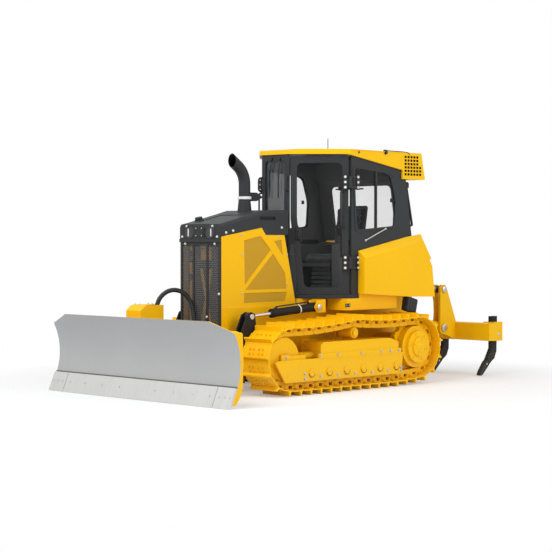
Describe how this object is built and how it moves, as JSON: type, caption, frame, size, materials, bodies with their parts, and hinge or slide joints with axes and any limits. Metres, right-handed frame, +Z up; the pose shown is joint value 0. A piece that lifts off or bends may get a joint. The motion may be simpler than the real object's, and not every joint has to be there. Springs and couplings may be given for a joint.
{
  "type": "crawler bulldozer",
  "caption": "Small crawler bulldozer with a glazed cab, steel tracks, a lifting, angling and tilting front blade and a rear ripper.",
  "frame": {"origin": "on the ground, midway along and across the machine", "axes": "+X forward towards the blade, +Y to the operator's left, +Z up"},
  "size_m": [5.1871, 2.9, 2.805],
  "materials": {
    "yellow_paint": "semi-gloss yellow machine paint",
    "dark_paint": "satin dark grey paint",
    "blade_steel": "worn bare steel",
    "blade_grey": "light grey paint, satin",
    "rod_chrome": "polished hard chrome",
    "glass": "clear tinted safety glass",
    "lens": "clear lamp lens",
    "seat_fabric": "dark woven seat cover",
    "trim_plastic": "moulded dark plastic",
    "hose_rubber": "black braided hose cover"
  },
  "bodies": {
    "chassis": {"main_frame": "yellow_paint", "engine_block": "dark_paint", "radiator": "dark_paint", "hood": "dark_paint", "nose_panel": "dark_paint", "head_lamps": "lens", "grille": "dark_paint", "side_panels": "yellow_paint", "exhaust": "dark_paint", "cab_floor": "dark_paint", "cab_front": "dark_paint", "cab_sides": "dark_paint", "cab_rear": "dark_paint", "cab_roof": "yellow_paint", "cab_glass": "glass", "seat": "seat_fabric", "console": "trim_plastic", "tanks": "yellow_paint", "handrails": "dark_paint", "track_frames": "yellow_paint", "track_left": "yellow_paint", "track_right": "yellow_paint", "idlers": "yellow_paint", "sprockets": "yellow_paint", "rollers": "yellow_paint", "lift_brackets": "yellow_paint", "ripper_mount": "yellow_paint", "hose": "hose_rubber"},
    "door_left": {"door_left": "dark_paint", "door_glass_left": "glass"},
    "door_right": {"door_right": "dark_paint", "door_glass_right": "glass"},
    "c_frame": {"c_frame": "yellow_paint"},
    "blade_yoke": {"blade_yoke": "dark_paint", "hose_guard": "yellow_paint"},
    "blade": {"moldboard": "blade_grey", "cutting_edge": "blade_steel"},
    "lift_barrels": {"lift_barrels": "dark_paint"},
    "lift_rods": {"lift_rods": "rod_chrome"},
    "angle_barrel_left": {"angle_barrel_left": "dark_paint"},
    "angle_barrel_right": {"angle_barrel_right": "dark_paint"},
    "angle_rod_left": {"angle_rod_left": "rod_chrome"},
    "angle_rod_right": {"angle_rod_right": "rod_chrome"},
    "tilt_barrel": {"tilt_barrel": "dark_paint"},
    "tilt_rod": {"tilt_rod": "rod_chrome"},
    "ripper_frame": {"ripper_frame": "yellow_paint", "ripper_shanks": "dark_paint"},
    "ripper_barrels": {"ripper_barrels": "dark_paint"},
    "ripper_rods": {"ripper_rods": "rod_chrome"}
  },
  "joints": [
    {"name": "door_left_swing", "type": "hinge", "parent": "chassis", "child": "door_left", "pos_m": [0.03463, 0.71207, 1.85], "axis": [0, 0, 1], "range_deg": [0, 100]},
    {"name": "door_right_swing", "type": "hinge", "parent": "chassis", "child": "door_right", "pos_m": [0.03463, -0.71207, 1.85], "axis": [0, 0, -1], "range_deg": [0, 100]},
    {"name": "blade_lift", "type": "hinge", "parent": "chassis", "child": "c_frame", "pos_m": [0.23, 0, 0.35], "axis": [0, -1, 0], "range_deg": [-11, 20], "deforming": ["hose"]},
    {"name": "blade_angle", "type": "hinge", "parent": "c_frame", "child": "blade_yoke", "pos_m": [2.15, 0, 0.4], "axis": [0, 0, 1], "range_deg": [-25, 25]},
    {"name": "blade_tilt", "type": "hinge", "parent": "blade_yoke", "child": "blade", "pos_m": [2.38, 0, 0.4], "axis": [1, 0, 0], "range_deg": [-8, 8]},
    {"name": "lift_barrels_swing", "type": "hinge", "parent": "chassis", "child": "lift_barrels", "pos_m": [0.39, 0, 0.909], "axis": [0, -1, 0], "range_deg": [-14, 25]},
    {"name": "lift_rods_slide", "type": "slide", "parent": "lift_barrels", "child": "lift_rods", "axis": [0.9975, 0, -0.0711], "range_m": [-0.195, 0.11]},
    {"name": "angle_barrel_left_swing", "type": "hinge", "parent": "c_frame", "child": "angle_barrel_left", "pos_m": [1.33, 0.38, 0.43], "axis": [0, 0, 1], "range_deg": [-2, 2]},
    {"name": "angle_rod_left_slide", "type": "slide", "parent": "angle_barrel_left", "child": "angle_rod_left", "axis": [0.9999, 0.0165, 0], "range_m": [-0.175, 0.175]},
    {"name": "angle_barrel_right_swing", "type": "hinge", "parent": "c_frame", "child": "angle_barrel_right", "pos_m": [1.33, -0.38, 0.43], "axis": [0, 0, 1], "range_deg": [-2, 2]},
    {"name": "angle_rod_right_slide", "type": "slide", "parent": "angle_barrel_right", "child": "angle_rod_right", "axis": [0.9999, -0.0165, 0], "range_m": [-0.175, 0.175]},
    {"name": "tilt_barrel_swing", "type": "hinge", "parent": "blade_yoke", "child": "tilt_barrel", "pos_m": [2.285, -0.09, 0.664], "axis": [1, 0, 0], "range_deg": [-10, 10]},
    {"name": "tilt_rod_slide", "type": "slide", "parent": "tilt_barrel", "child": "tilt_rod", "axis": [0, -0.9959, -0.0905], "range_m": [-0.04, 0.04]},
    {"name": "ripper_lift", "type": "hinge", "parent": "chassis", "child": "ripper_frame", "pos_m": [-2.04, 0, 0.58], "axis": [0, 1, 0], "range_deg": [-25, 22]},
    {"name": "ripper_barrels_swing", "type": "hinge", "parent": "chassis", "child": "ripper_barrels", "pos_m": [-1.18, 0, 1.09], "axis": [0, 1, 0], "range_deg": [-1, 1]},
    {"name": "ripper_rods_slide", "type": "slide", "parent": "ripper_barrels", "child": "ripper_rods", "axis": [-0.9989, 0, -0.0465], "range_m": [-0.185, 0.21]}
  ],
  "couplings": [
    {"joint": "lift_barrels_swing", "follows": "blade_lift", "ratio": 1.2011},
    {"joint": "lift_rods_slide", "follows": "blade_lift", "m_per_rad": -0.54525},
    {"joint": "angle_barrel_left_swing", "follows": "blade_angle", "ratio": 0.06},
    {"joint": "angle_rod_left_slide", "follows": "blade_angle", "m_per_rad": -0.38783},
    {"joint": "angle_barrel_right_swing", "follows": "blade_angle", "ratio": 0.06},
    {"joint": "angle_rod_right_slide", "follows": "blade_angle", "m_per_rad": 0.38783},
    {"joint": "tilt_barrel_swing", "follows": "blade_tilt", "ratio": 1.1205},
    {"joint": "tilt_rod_slide", "follows": "blade_tilt", "m_per_rad": 0.2703},
    {"joint": "ripper_barrels_swing", "follows": "ripper_lift", "ratio": -0.0186},
    {"joint": "ripper_rods_slide", "follows": "ripper_lift", "m_per_rad": -0.46162}
  ]
}
